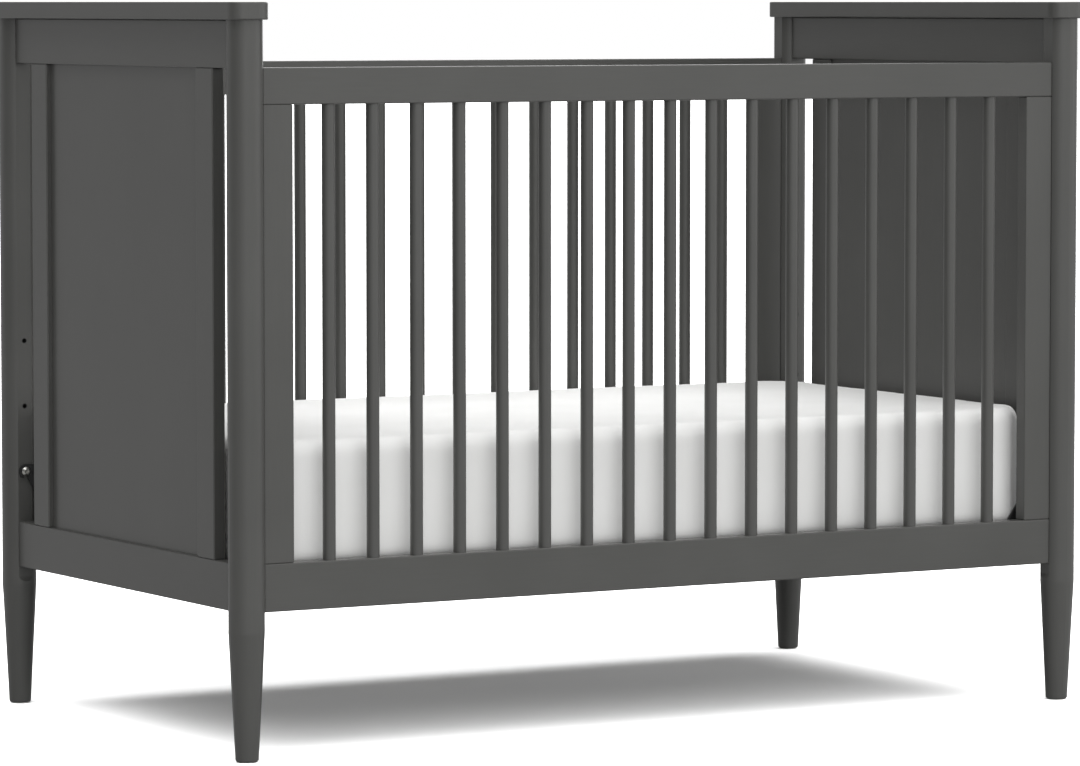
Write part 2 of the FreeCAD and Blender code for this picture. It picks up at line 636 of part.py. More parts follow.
def make_inserts_and_bolts():
    """A threaded insert at each height in each post, and a hanger bolt in the lowest ones."""
    inserts, bolts = [], []
    for x_side, y_side in corners:
        at_x = "%d * %s" % (x_side, post_x)
        deep_y = "%d * (%s - post_flat + insert_long)" % (y_side, post_y)
        inward = towards_middle(y_side, "y")
        for step in range(hook_heights):
            at_z = "hook_height + %d * hook_step" % step
            sleeve = rod("insert_sleeve", inward, "insert_radius", "insert_long", at_x, deep_y, at_z)
            thread = rod("insert_thread", inward, "bolt_radius + fit", "insert_long", at_x, deep_y, at_z)
            inserts.append(minus("threaded_insert", sleeve, thread))
        tip_y = "%d * (%s - post_flat + bolt_in_post)" % (y_side, post_y)
        head_y = "%d * (%s - slide_gap)" % (y_side, deck_half_y)
        shank = rod("bolt_shank", inward, "bolt_radius", "bolt_in_post + hanger_thick + 2 * slide_gap",
                    at_x, tip_y, "hook_height")
        head = doc.addObject("Part::Cone", "bolt_dome")
        head.setExpression("Radius1", sized("bolt_head"))
        head.setExpression("Radius2", sized("bolt_head * 0.62"))
        head.setExpression("Height", sized("bolt_head_tall"))
        head.Placement = FreeCAD.Placement(FreeCAD.Vector(), TURNS[inward])
        place(head, at_x, head_y, "hook_height")
        socket = doc.addObject("Part::Prism", "bolt_socket")
        socket.Polygon = 6
        socket.setExpression("Circumradius", sized("hex_reach * 2 / sqrt(3)"))
        socket.setExpression("Height", sized("hex_deep + 1"))
        socket.Placement = FreeCAD.Placement(FreeCAD.Vector(), TURNS[inward])
        socket_y = "%d * (%s - slide_gap - bolt_head_tall + hex_deep)" % (y_side, deck_half_y)
        place(socket, at_x, socket_y, "hook_height")
        bolts.append(minus("hanger_bolt", plus("bolt_blank", shank, head), socket))
    group("threaded_inserts", inserts)
    group("hanger_bolts", bolts)


def make_hanger(label, x_side, y_side):
    """A steel plate that hooks over a bolt from above and carries a corner of the support."""
    made = body(label)
    inward = "%d * " % -x_side
    slot = "(bolt_radius + hook_gap)"
    tip = "sqrt(hanger_round^2 - %s^2)" % slot
    low = "-(hanger_drop + angle_tall - angle_thick)"
    high = "-(hanger_drop + angle_thick)"
    far = "(deck_inset + hanger_foot)"
    neck = "(%s + hanger_neck)" % slot
    face = sketch(made, "XZ_Plane")
    outline(face, [
        (inward + "(-%s)" % slot, "-" + tip, inward + "(-hanger_round)", "0", "0"),
        ("0", "hanger_round"),
        (inward + neck, "hanger_round"),
        (inward + far, high),
        (inward + far, low),
        (inward + "deck_inset", low),
        (inward + "deck_inset", "-hanger_shoulder"),
        (inward + slot, "-" + tip),
        (inward + slot, "0", "0", slot, "0"),
        (inward + "(-%s)" % slot, "0"),
    ])
    pad(made, face, "hanger_thick", midplane=False, backwards=(y_side < 0))
    keep(label, made, "%d * %s" % (x_side, post_x), "%d * %s" % (y_side, hanger_face), "hook_height")


def make_support():
    """Four steel angle rails round a deck of wires and springs."""
    lower = deck_top + " - angle_tall"
    for word, way in (("front", -1), ("back", 1)):
        web_y = "-" + deck_half_y if way < 0 else deck_half_y + " - angle_thick"
        leg_y = "-" + deck_half_y if way < 0 else deck_half_y + " - angle_wide"
        web = block("web", "2 * " + deck_half_x, "angle_thick", "angle_tall", "-" + deck_half_x, web_y, lower)
        leg = block("leg", "2 * " + deck_half_x, "angle_wide", "angle_thick", "-" + deck_half_x, leg_y,
                    deck_top + " - angle_thick")
        keep("support_%s_rail" % word, plus("angle", web, leg))
    web_half = "(%s - angle_thick)" % deck_half_y
    leg_half = "(%s - angle_wide)" % deck_half_y
    for word, side in (("left", -1), ("right", 1)):
        web_x = "-" + deck_half_x if side < 0 else deck_half_x + " - angle_thick"
        leg_x = "-" + deck_half_x if side < 0 else deck_half_x + " - angle_wide"
        web = block("web", "angle_thick", "2 * " + web_half, "angle_tall - angle_thick", web_x, "-" + web_half,
                    lower)
        leg = block("leg", "angle_wide", "2 * " + leg_half, "angle_thick", leg_x, "-" + leg_half,
                    deck_top + " - angle_thick")
        keep("support_%s_rail" % word, plus("angle", web, leg))
    wire_z = deck_top + " - wire_drop"
    long_half = "(%s - angle_wide - spring_long)" % deck_half_x
    cross_half = "(%s - angle_wide - spring_long)" % deck_half_y
    # The wires are spaced evenly over the open middle, clear of the springs of the others.
    long_pitch = "(2 * %s / %d)" % (cross_half, long_wires)
    cross_pitch = "(2 * %s / %d)" % (long_half, cross_wires)
    long_run, cross_run, springs = [], [], []
    for index in range(long_wires):
        at_y = "%d * %s" % (index - long_wires // 2, long_pitch)
        long_run.append(rod("long_wire", "x", "wire_radius", "2 * " + long_half, "-" + long_half, at_y, wire_z))
        for side in (-1, 1):
            springs.append(rod("end_spring", outwards(side, "x"), "spring_radius", "spring_long",
                               "%d * %s" % (side, long_half), at_y, wire_z))
    cross_z = wire_z + " - 2 * wire_radius - fit"
    for index in range(cross_wires):
        at_x = "%d * %s" % (index - cross_wires // 2, cross_pitch)
        cross_run.append(rod("cross_wire", "y", "wire_radius", "2 * " + cross_half, at_x, "-" + cross_half,
                             cross_z))
        for way in (-1, 1):
            springs.append(rod("side_spring", outwards(way, "y"), "spring_radius", "spring_long",
                               at_x, "%d * %s" % (way, cross_half), cross_z))
    group("deck_long_wires", long_run)
    group("deck_cross_wires", cross_run)
    group("deck_springs", springs)


def make_mattress():
    """A plain block with rounded corners and edges."""
    made = body("mattress")
    plan = sketch(made, "XY_Plane", "mattress_thick / 2")
    rectangle(plan, "post_pitch_x - rail_thick - 2 * mattress_end_gap",
              "post_pitch_y - rail_thick - 2 * mattress_side_gap")
    slab = pad(made, plan, "mattress_thick")
    rounded = ease_edges(made, slab, "mattress_corner", upright)
    above_bottom = number("mattress_thick / 10")
    crowned = ease_edges(made, rounded, "mattress_round", lambda edge: edge.BoundBox.ZMin > above_bottom)
    ease_edges(made, crowned, "mattress_under", lambda edge: edge.BoundBox.ZMax < above_bottom)
    keep("mattress", made, "0", "0", deck_top + " + rest_gap")


def make_glides():
    pieces = []
    for x_side, y_side in corners:
        at_x = "%d * %s" % (x_side, post_x)
        at_y = "%d * %s" % (y_side, post_y)
        disc = rod("glide_disc", "z", "glide_radius", "glide_tall", at_x, at_y, "0")
        nail = rod("glide_nail", "z", "glide_stem", "glide_tall + glide_stem_long", at_x, at_y, "0")
        pieces.append(plus("foot_glide", disc, nail))
    group("foot_glides", pieces)


for x_word, x_side in (("left", -1), ("right", 1)):
    for y_word, y_side in (("front", -1), ("back", 1)):
        make_post("%s_%s_post" % (y_word, x_word), x_side, y_side)
        make_hanger("%s_%s_hanger" % (y_word, x_word), x_side, y_side)
    make_cap("%s_cap" % x_word, x_side)
    make_end(x_word, x_side)
for y_word, y_side in (("front", -1), ("back", 1)):
    make_side(y_word, y_side)
make_spindles()
make_dowels()
make_cam_fittings()
make_inserts_and_bolts()
make_support()
make_mattress()
make_glides()
doc.recompute()

# Nothing is written unless every object computed and every sub-part is a valid solid.
for thing in doc.Objects:
    if "Invalid" in thing.State or "Error" in thing.State:
        raise ValueError("%s failed: %s" % (thing.Name, thing.State))
for label, thing in parts.items():
    if thing.Shape.isNull() or not thing.Shape.isValid() or not thing.Shape.Solids:
        raise ValueError(label + " has no valid solid")
os.makedirs("parts", exist_ok=True)
for label, thing in sorted(parts.items()):
    thing.Shape.exportStep("parts/%s.step" % label)
print(len(parts), "sub-parts written")
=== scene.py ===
import math

import bpy
import numpy as np
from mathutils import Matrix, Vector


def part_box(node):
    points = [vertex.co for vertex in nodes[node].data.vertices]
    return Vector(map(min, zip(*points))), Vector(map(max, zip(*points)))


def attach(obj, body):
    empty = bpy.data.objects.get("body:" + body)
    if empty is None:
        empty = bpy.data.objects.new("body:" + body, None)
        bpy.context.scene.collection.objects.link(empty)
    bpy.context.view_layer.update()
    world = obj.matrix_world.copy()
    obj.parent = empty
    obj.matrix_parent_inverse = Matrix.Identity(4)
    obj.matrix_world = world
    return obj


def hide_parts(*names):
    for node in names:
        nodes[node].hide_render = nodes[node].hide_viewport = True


# A baby crib: solid panelled ends under rounded caps, spindled sides, and a mattress on a sprung deck.
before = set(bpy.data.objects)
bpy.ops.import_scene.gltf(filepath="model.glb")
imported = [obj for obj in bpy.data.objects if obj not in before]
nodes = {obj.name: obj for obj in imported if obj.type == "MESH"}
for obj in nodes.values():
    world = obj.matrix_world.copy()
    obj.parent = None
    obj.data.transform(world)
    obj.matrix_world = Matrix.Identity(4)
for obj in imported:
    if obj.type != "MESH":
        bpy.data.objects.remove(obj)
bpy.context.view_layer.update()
print("crib frame loaded:", len(nodes), "nodes")


def linearColour(hexText):
    # a channel c becomes c / 12.92 up to 0.04045, and above that ((c + 0.055) / 1.055) to the power 2.4
    channels = np.array([int(hexText[i:i + 2], 16) for i in (1, 3, 5)]) / 255
    made = np.where(channels <= 0.04045, channels / 12.92, ((channels + 0.055) / 1.055) ** 2.4)
    return (*made.tolist(), 1.0)


def addNode(tree, kind, settings=None, links=None):
    # one shader node; a setting is a socket's value if the node has that socket, else a property
    node = tree.nodes.new(kind)
    for name, value in (settings or {}).items():
        if isinstance(name, int) or name in node.inputs:
            node.inputs[name].default_value = value
        else:
            setattr(node, name, value)
    for name, socket in (links or {}).items():
        tree.links.new(socket, node.inputs[name])
    return node


def newMaterial(name):
    material = bpy.data.materials.new(name)
    material.use_nodes = True
    material.node_tree.nodes.clear()
    return material, material.node_tree


def finishShader(tree, settings, links):
    shader = addNode(tree, "ShaderNodeBsdfPrincipled", settings, links)
    addNode(tree, "ShaderNodeOutputMaterial", links={"Surface": shader.outputs["BSDF"]})
    return shader


def perMetre(millimetres):
    # a texture's scale, for a pattern that repeats every so many millimetres
    return 1000 / millimetres


def paint(node, material):
    node.data.materials.clear()
    node.data.materials.append(material)


lacquer = {
    "deep": "#4a4a48", "pale": "#4f4f4d",   # charcoal, barely warmer than grey
    "roughness": 0.30, "roughnessSwing": 0.03,
    "ior": 1.50, "level": 0.42,
    "mottle": 140,        # mm, how far the tone drifts
    "grainShare": 0.35, "mottleShare": 0.65,   # of the tone
    "grainWide": 2.4,     # mm, coarser than beech pores so that it shows
    "grainStretch": 0.04,
    "peel": 3.0,          # mm, sprayed lacquer's orange peel
    "relief": 0.00005,    # m
    "grainRelief": 0.5,   # of the peel's height
    "bump": 0.35,
}


def makeLacquer(name, grainAxis):
    # Satin catalysed lacquer sprayed over beech and MDF: an even, dark, soft-edged sheen,
    # with the grain only just telegraphing through along each stick.
    material, tree = newMaterial(name)
    place = addNode(tree, "ShaderNodeTexCoord")
    stretch = [1.0, 1.0, 1.0]
    stretch[grainAxis] = lacquer["grainStretch"]
    along = addNode(tree, "ShaderNodeMapping", {"Scale": stretch}, {"Vector": place.outputs["Object"]})
    grain = addNode(tree, "ShaderNodeTexNoise",
                    {"Scale": perMetre(lacquer["grainWide"]), "Detail": 3.0, "Roughness": 0.55},
                    {"Vector": along.outputs["Vector"]})
    peel = addNode(tree, "ShaderNodeTexNoise",
                   {"Scale": perMetre(lacquer["peel"]), "Detail": 1.0},
                   {"Vector": place.outputs["Object"]})
    drift = addNode(tree, "ShaderNodeTexNoise",
                    {"Scale": perMetre(lacquer["mottle"]), "Detail": 2.0},
                    {"Vector": place.outputs["Object"]})
    tone = addNode(tree, "ShaderNodeMath", {"operation": "MULTIPLY", 1: lacquer["grainShare"]},
                   {0: grain.outputs["Fac"]})
    blend = addNode(tree, "ShaderNodeMath", {"operation": "MULTIPLY_ADD", 1: lacquer["mottleShare"]},
                    {0: drift.outputs["Fac"], 2: tone.outputs[0]})
    colour = addNode(tree, "ShaderNodeValToRGB", links={"Fac": blend.outputs[0]})
    colour.color_ramp.elements[0].position = 0.30
    colour.color_ramp.elements[1].position = 0.70
    colour.color_ramp.elements[0].color = linearColour(lacquer["deep"])
    colour.color_ramp.elements[1].color = linearColour(lacquer["pale"])
    gloss = addNode(tree, "ShaderNodeMapRange",
                    {"To Min": lacquer["roughness"] - lacquer["roughnessSwing"],
                     "To Max": lacquer["roughness"] + lacquer["roughnessSwing"]},
                    {"Value": drift.outputs["Fac"]})
    height = addNode(tree, "ShaderNodeMath", {"operation": "MULTIPLY_ADD", 1: lacquer["grainRelief"]},
                     {0: grain.outputs["Fac"], 2: peel.outputs["Fac"]})
    bump = addNode(tree, "ShaderNodeBump", {"Strength": lacquer["bump"], "Distance": lacquer["relief"]},
                   {"Height": height.outputs[0]})
    finishShader(tree, {"IOR": lacquer["ior"], "Specular IOR Level": lacquer["level"]},
                 {"Base Color": colour.outputs["Color"], "Roughness": gloss.outputs["Result"],
                  "Normal": bump.outputs["Normal"]})
    return material


lacquerUpright = makeLacquer("satinLacquerUprightGrain", 2)
lacquerLong = makeLacquer("satinLacquerLongGrain", 0)
lacquerAcross = makeLacquer("satinLacquerCrossGrain", 1)

powder = {
    "colour": "#222222", "smooth": 0.42, "rough": 0.56, "ior": 1.5,
    "grit": 1.6,          # mm
    "relief": 0.00008,    # m
    "bump": 0.5,
}


def makePowderCoat():
    # Black powder coat baked on steel: a fine pebble that breaks the gloss into soft points.
    material, tree = newMaterial("blackPowderCoat")
    place = addNode(tree, "ShaderNodeTexCoord")
    pebble = addNode(tree, "ShaderNodeTexNoise", {"Scale": perMetre(powder["grit"]), "Detail": 2.0},
                     {"Vector": place.outputs["Object"]})
    gloss = addNode(tree, "ShaderNodeMapRange",
                    {"To Min": powder["smooth"], "To Max": powder["rough"]},
                    {"Value": pebble.outputs["Fac"]})
    bump = addNode(tree, "ShaderNodeBump", {"Strength": powder["bump"], "Distance": powder["relief"]},
                   {"Height": pebble.outputs["Fac"]})
    finishShader(tree, {"Base Color": linearColour(powder["colour"]), "IOR": powder["ior"]},
                 {"Roughness": gloss.outputs["Result"], "Normal": bump.outputs["Normal"]})
    return material


zinc = {
    "dull": "#a9a8a2", "bright": "#c9c9c6", "smooth": 0.26, "rough": 0.44,
    "crystal": 5.0,       # mm
}


def makeZinc():
    # Clear zinc plate on turned steel: a soft grey mirror with cloudy crystals.
    material, tree = newMaterial("zincPlatedSteel")
    place = addNode(tree, "ShaderNodeTexCoord")
    cloud = addNode(tree, "ShaderNodeTexNoise", {"Scale": perMetre(zinc["crystal"]), "Detail": 3.0},
                    {"Vector": place.outputs["Object"]})
    colour = addNode(tree, "ShaderNodeValToRGB", links={"Fac": cloud.outputs["Fac"]})
    colour.color_ramp.elements[0].color = linearColour(zinc["dull"])
    colour.color_ramp.elements[1].color = linearColour(zinc["bright"])
    gloss = addNode(tree, "ShaderNodeMapRange",
                    {"To Min": zinc["smooth"], "To Max": zinc["rough"]},
                    {"Value": cloud.outputs["Fac"]})
    finishShader(tree, {"Metallic": 1.0},
                 {"Base Color": colour.outputs["Color"], "Roughness": gloss.outputs["Result"]})
    return material


beech = {
    "pale": "#d9b48a", "brown": "#b98a5b", "roughness": 0.7, "ior": 1.5,
    "fleck": 3.0,         # mm across the grain
    "stretch": 0.06,
    "relief": 0.0001,     # m
    "bump": 0.3,
}


def makeBeech():
    # Bare fluted beech dowel: pale pinkish brown, fine flecks along the grain, no finish.
    material, tree = newMaterial("bareBeech")
    place = addNode(tree, "ShaderNodeTexCoord")
    along = addNode(tree, "ShaderNodeMapping", {"Scale": (beech["stretch"], 1, 1)},
                    {"Vector": place.outputs["Object"]})
    fleck = addNode(tree, "ShaderNodeTexNoise", {"Scale": perMetre(beech["fleck"]), "Detail": 4.0},
                    {"Vector": along.outputs["Vector"]})
    colour = addNode(tree, "ShaderNodeValToRGB", links={"Fac": fleck.outputs["Fac"]})
    colour.color_ramp.elements[0].position = 0.35
    colour.color_ramp.elements[1].position = 0.65
    colour.color_ramp.elements[0].color = linearColour(beech["brown"])
    colour.color_ramp.elements[1].color = linearColour(beech["pale"])
    bump = addNode(tree, "ShaderNodeBump", {"Strength": beech["bump"], "Distance": beech["relief"]},
                   {"Height": fleck.outputs["Fac"]})
    finishShader(tree, {"Roughness": beech["roughness"], "IOR": beech["ior"]},
                 {"Base Color": colour.outputs["Color"], "Normal": bump.outputs["Normal"]})
    return material


glide = {
    "colour": "#b4b4b0", "roughness": 0.45, "ior": 1.51,
    "clouding": 0.1, "depth": 0.002,   # share and depth in m of the light that gets under the skin
    "texture": 0.9,       # mm
    "relief": 0.00005,    # m
    "bump": 0.3,
}


def makeGlidePlastic():
    # Moulded polyethylene pad: waxy, slightly translucent grey with a spark-eroded grain.
    material, tree = newMaterial("mouldedPolyethylene")
    place = addNode(tree, "ShaderNodeTexCoord")
    grain = addNode(tree, "ShaderNodeTexNoise", {"Scale": perMetre(glide["texture"]), "Detail": 1.0},
                    {"Vector": place.outputs["Object"]})
    bump = addNode(tree, "ShaderNodeBump", {"Strength": glide["bump"], "Distance": glide["relief"]},
                   {"Height": grain.outputs["Fac"]})
    finishShader(tree, {"Base Color": linearColour(glide["colour"]), "Roughness": glide["roughness"],
                        "IOR": glide["ior"], "Subsurface Weight": glide["clouding"],
                        "Subsurface Scale": glide["depth"]},
                 {"Normal": bump.outputs["Normal"]})
    return material


cover = {
    "shade": "#eeeeec", "white": "#f6f6f5",
    "stitch": 2.6,        # mm between loops, drawn about twice too coarse so that it shows
    "wale": 5.2,          # mm between the knit's ribs
    "crease": 90,         # mm, how far the white drifts
    "relief": 0.00022,    # m
    "ribRelief": 0.35,    # of the loops' height
    "bump": 0.35,
    "roughness": 0.9, "ior": 1.46, "level": 0.25,
    "sheen": 0.18, "sheenRoughness": 0.5,
}


def makeCover():
    # Interlock cotton knit: matt bright white, loops in fine upright ribs, a little fuzz at the edges.
    material, tree = newMaterial("whiteCottonKnit")
    place = addNode(tree, "ShaderNodeTexCoord")
    loops = addNode(tree, "ShaderNodeTexVoronoi",
                    {"Scale": perMetre(cover["stitch"]), "Randomness": 0.45},
                    {"Vector": place.outputs["Object"]})
    ribs = addNode(tree, "ShaderNodeTexWave",
                   {"Scale": perMetre(cover["wale"]) / 20 * math.pi, "Distortion": 0.4, "Detail": 0.0},
                   {"Vector": place.outputs["Object"]})
    creases = addNode(tree, "ShaderNodeTexNoise", {"Scale": perMetre(cover["crease"]), "Detail": 2.0},
                      {"Vector": place.outputs["Object"]})
    colour = addNode(tree, "ShaderNodeValToRGB", links={"Fac": creases.outputs["Fac"]})
    colour.color_ramp.elements[0].color = linearColour(cover["shade"])
    colour.color_ramp.elements[1].color = linearColour(cover["white"])
    height = addNode(tree, "ShaderNodeMath", {"operation": "MULTIPLY_ADD", 1: cover["ribRelief"]},
                     {0: ribs.outputs["Fac"], 2: loops.outputs["Distance"]})
    bump = addNode(tree, "ShaderNodeBump", {"Strength": cover["bump"], "Distance": cover["relief"]},
                   {"Height": height.outputs[0]})
    finishShader(tree, {"Roughness": cover["roughness"], "IOR": cover["ior"],
                        "Specular IOR Level": cover["level"], "Sheen Weight": cover["sheen"],
                        "Sheen Roughness": cover["sheenRoughness"]},
                 {"Base Color": colour.outputs["Color"], "Normal": bump.outputs["Normal"]})
    return material


powderCoat, zincPlate, bareBeech = makePowderCoat(), makeZinc(), makeBeech()
glidePlastic, cottonKnit = makeGlidePlastic(), makeCover()

finishOfNode = (  # the first word found in a node's name decides its finish
    ("dowel", bareBeech), ("glide", glidePlastic), ("mattress", cottonKnit),
    ("cam_", zincPlate), ("bolt", zincPlate),
    ("insert", powderCoat), ("hanger", powderCoat), ("support", powderCoat), ("deck", powderCoat),
    ("post", lacquerUpright), ("stile", lacquerUpright), ("panel", lacquerUpright),
    ("spindle", lacquerUpright), ("cap", lacquerAcross), ("end_", lacquerAcross),
    ("rail", lacquerLong),
)
for nodeName, node in nodes.items():
    paint(node, next(material for word, material in finishOfNode if word in nodeName))
print("finishes made")


spring = {
    "alongX": 9, "alongY": 13,   # springs at each end, and at each side
    "wire": 0.0009,              # m, radius of the spring wire
    "turns": 11, "stepsPerTurn": 10, "sides": 6,
    "taper": 0.14,               # share of the length over which the coil closes to its hook
}


def gridFaces(rows, columns):
    # quads of a grid that closes round its columns: (i, j), (i, j+1), (i+1, j+1), (i+1, j)
    i, j = np.meshgrid(np.arange(rows - 1), np.arange(columns), indexing="ij")
    nextJ = (j + 1) % columns
    corners = (i * columns + j, i * columns + nextJ, (i + 1) * columns + nextJ, (i + 1) * columns + j)
    return np.stack(corners, -1).reshape(-1, 4)


def coil(start, end, radius):
    # axis point + r(t) (cos a u + sin a v) with a = 2 pi turns t, r falling to nothing at both ends,
    # and round each point of that line a ring of the wire's radius
    start, end = np.array(start, float), np.array(end, float)
    axis = (end - start) / np.linalg.norm(end - start)
    v = np.array([0.0, 0.0, 1.0])
    u = np.cross(v, axis)
    t = np.linspace(0, 1, spring["turns"] * spring["stepsPerTurn"] + 1)[:, None]
    edge = np.clip(np.minimum(t, 1 - t) / spring["taper"], 0, 1)
    r = (radius - spring["wire"]) * edge * edge * (3 - 2 * edge)
    angle = 2 * math.pi * spring["turns"] * t
    line = start + (end - start) * t + r * (np.cos(angle) * u + np.sin(angle) * v)
    tangent = np.gradient(line, axis=0)
    tangent /= np.linalg.norm(tangent, axis=1, keepdims=True)
    outward = np.cos(angle) * u + np.sin(angle) * v
    outward -= (outward * tangent).sum(1, keepdims=True) * tangent
    outward /= np.linalg.norm(outward, axis=1, keepdims=True)
    side = np.cross(tangent, outward)
    s = np.linspace(0, 2 * math.pi, spring["sides"], endpoint=False)[None, :, None]
    ring = line[:, None] + spring["wire"] * (np.cos(s) * outward[:, None] + np.sin(s) * side[:, None])
    return ring.reshape(-1, 3)


def meshObject(name, points, quads, polygons=()):
    mesh = bpy.data.meshes.new(name)
    faces = [tuple(q) for q in np.asarray(quads).tolist()] + [tuple(p) for p in polygons]
    mesh.from_pydata(np.asarray(points).tolist(), [], faces)
    mesh.validate()
    mesh.update()
    made = bpy.data.objects.new(name, mesh)
    bpy.context.scene.collection.objects.link(made)
    return made


def makeSprings():
    low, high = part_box("deck_springs")
    longLow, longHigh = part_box("deck_long_wires")
    crossLow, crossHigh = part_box("deck_cross_wires")
    wire = (longHigh.z - longLow.z) / 2
    endZ, sideZ = (longLow.z + longHigh.z) / 2, (crossLow.z + crossHigh.z) / 2
    radius = high.z - max(endZ, sideZ)
    rowY = np.linspace(longLow.y + wire, longHigh.y - wire, spring["alongX"])
    rowX = np.linspace(crossLow.x + wire, crossHigh.x - wire, spring["alongY"])
    innerX, innerY = longHigh.x, crossHigh.y
    points, quads, polygons, count = [], [], [], 0
    ends = [((way * innerX, y, endZ), (way * high.x, y, endZ)) for y in rowY for way in (-1, 1)]
    ends += [((x, way * innerY, sideZ), (x, way * high.y, sideZ)) for x in rowX for way in (-1, 1)]
    for start, end in ends:
        made = coil(start, end, radius)
        rows = len(made) // spring["sides"]
        quads.append(gridFaces(rows, spring["sides"]) + count)
        polygons.append([count + k for k in range(spring["sides"])][::-1])
        polygons.append([count + len(made) - spring["sides"] + k for k in range(spring["sides"])])
        points.append(made)
        count += len(made)
    piece = meshObject("deckSprings", np.concatenate(points), np.concatenate(quads), polygons)
    piece.data.polygons.foreach_set("use_smooth", np.ones(len(piece.data.polygons), bool))
    paint(piece, powderCoat)
    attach(piece, "mattress_support")
    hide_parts("deck_springs")
    print("springs made:", len(ends))


makeSprings()


mattress = {
    "corner": 0.080,      # m, plan radius of the foam's corners
    "edge": 0.019, "underEdge": 0.009,   # radius round the upper and lower edges
    "shrink": 0.002,      # the foam is this much smaller all round before it swells
    "cap": 0.003,         # furthest a point may swell
    "crown": 0.005,       # the filled cover stands this much above the bare foam
    "rings": 18,          # from the underside to the top
    "voxel": 0.008, "pressure": 4.0, "quality": 5, "frames": 20,
    "wave": 0.0011,       # slack in the cover
    "fade": 0.05,         # the slack grows over this height above the deck
    "fill": 0.9,
}


def outline(halfX, halfY, radius, perCorner=16, perSide=24):
    # rounded rectangle, anticlockwise: four quarter circles of one radius joined by straight runs
    centres = np.array([(1, 1), (-1, 1), (-1, -1), (1, -1)]) * np.array([halfX - radius, halfY - radius])
    turn = np.linspace(0, math.pi / 2, perCorner)
    arcs = [centre + radius * np.stack([np.cos(turn + k * math.pi / 2), np.sin(turn + k * math.pi / 2)], 1)
            for k, centre in enumerate(centres)]
    runs = [np.linspace(arcs[k][-1], arcs[(k + 1) % 4][0], perSide)[1:-1] for k in range(4)]
    return np.concatenate([part for pair in zip(arcs, runs) for part in pair])


def foamBlock(name, low, high):
    # rings of the outline, ring k drawn in by e (1 - cos p) at the height that e sin p gives, p from -90
    # to 90 degrees, where e is the lower edge's radius below the middle and the upper edge's above it
    centre, half = (low + high) / 2, (high - low) / 2
    p = np.linspace(-math.pi / 2, math.pi / 2, mattress["rings"])
    edge = np.where(p < 0, mattress["underEdge"], mattress["edge"])
    drawnIn = edge * (1 - np.cos(p))
    height = np.sign(p) * (half[2] - edge) + edge * np.sin(p)
    plans = [outline(half[0] - d, half[1] - d, mattress["corner"] - d) for d in drawnIn]
    columns = len(plans[0])
    rings = [np.column_stack([plan, np.full(columns, z)]) for plan, z in zip(plans, height)]
    points = np.concatenate(rings) + centre
    top = [(len(rings) - 1) * columns + k for k in range(columns)]
    return meshObject(name, points, gridFaces(len(rings), columns), [top, list(range(columns))[::-1]])


def applyModifiers(piece):
    evaluated = piece.evaluated_get(bpy.context.evaluated_depsgraph_get())
    mesh = bpy.data.meshes.new_from_object(evaluated)
    piece.modifiers.clear()
    piece.data = mesh


def meshPoints(piece):
    flat = np.empty(len(piece.data.vertices) * 3)
    piece.data.vertices.foreach_get("co", flat)
    return flat.reshape(-1, 3)


def swell(piece, rest):
    cloth = piece.modifiers.new("cover", "CLOTH")
    cloth.settings.use_pressure = True
    cloth.settings.uniform_pressure_force = mattress["pressure"]
    cloth.settings.effector_weights.gravity = 0
    cloth.settings.quality = mattress["quality"]
    cloth.point_cache.frame_start, cloth.point_cache.frame_end = 1, mattress["frames"]
    for step in range(1, mattress["frames"] + 1):
        bpy.context.scene.frame_set(step)
    applyModifiers(piece)
    bpy.context.scene.frame_set(1)
    away = np.sign(rest - rest.mean(0))
    moved = away * np.maximum(away * (meshPoints(piece) - rest), 0)  # the foam stops it drawing in
    size = np.linalg.norm(moved, axis=1, keepdims=True)
    print("mattress swelled by up to", round(float(size.max()) * 1000, 1), "mm before the cap")
    return rest + moved * (mattress["cap"] / np.maximum(size, mattress["cap"]))


def makeMattress():
    low, high = (np.array(corner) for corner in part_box("mattress"))
    shrink = np.array([mattress["shrink"]] * 3)
    piece = foamBlock("crib_mattress", low + shrink, high - shrink)
    remesh = piece.modifiers.new("even", "REMESH")
    remesh.mode = "VOXEL"
    remesh.voxel_size = mattress["voxel"]
    applyModifiers(piece)
    points = meshPoints(piece)
    points = swell(piece, points)
    # the filled cover stretched to the mattress's own size; the deck keeps the underside flat, and firm
    # foam the top, so what swells past the block's own faces is pressed back level with them
    least, most = points.min(0), points.max(0)
    least[2], most[2] = low[2] + mattress["shrink"], high[2] - mattress["shrink"]
    crown = high + np.array([0, 0, mattress["crown"]])
    points = (points - least) * (crown - low) / (most - least) + low
    points = np.clip(points, low, crown)
    x, y, z = points.T
    # slack in the cover: two pairs of crossing waves, fading out towards the deck
    slack = np.sin(9 * x + 5 * y) * np.sin(13 * y - 4 * x + 1)
    slack += 0.5 * np.sin(23 * x + 2) * np.sin(17 * (y + z))
    centre = (low + high) / 2
    outward = points - centre
    outward /= np.linalg.norm(outward, axis=1, keepdims=True)
    fade = np.clip((z - low[2]) / mattress["fade"], 0, 1)
    points = points + outward * (mattress["wave"] * slack * fade)[:, None]
    points[:, 2] = np.maximum(points[:, 2], low[2])
    piece.data.vertices.foreach_set("co", points.astype(np.float32).ravel())
    piece.data.update()
    smooth = piece.modifiers.new("round", "SUBSURF")
    smooth.levels = smooth.render_levels = 1
    applyModifiers(piece)
    piece.data.polygons.foreach_set("use_smooth", np.ones(len(piece.data.polygons), bool))
    paint(piece, cottonKnit)
    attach(piece, "mattress")
    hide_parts("mattress")
    print("mattress made:", len(piece.data.polygons), "faces")


makeMattress()


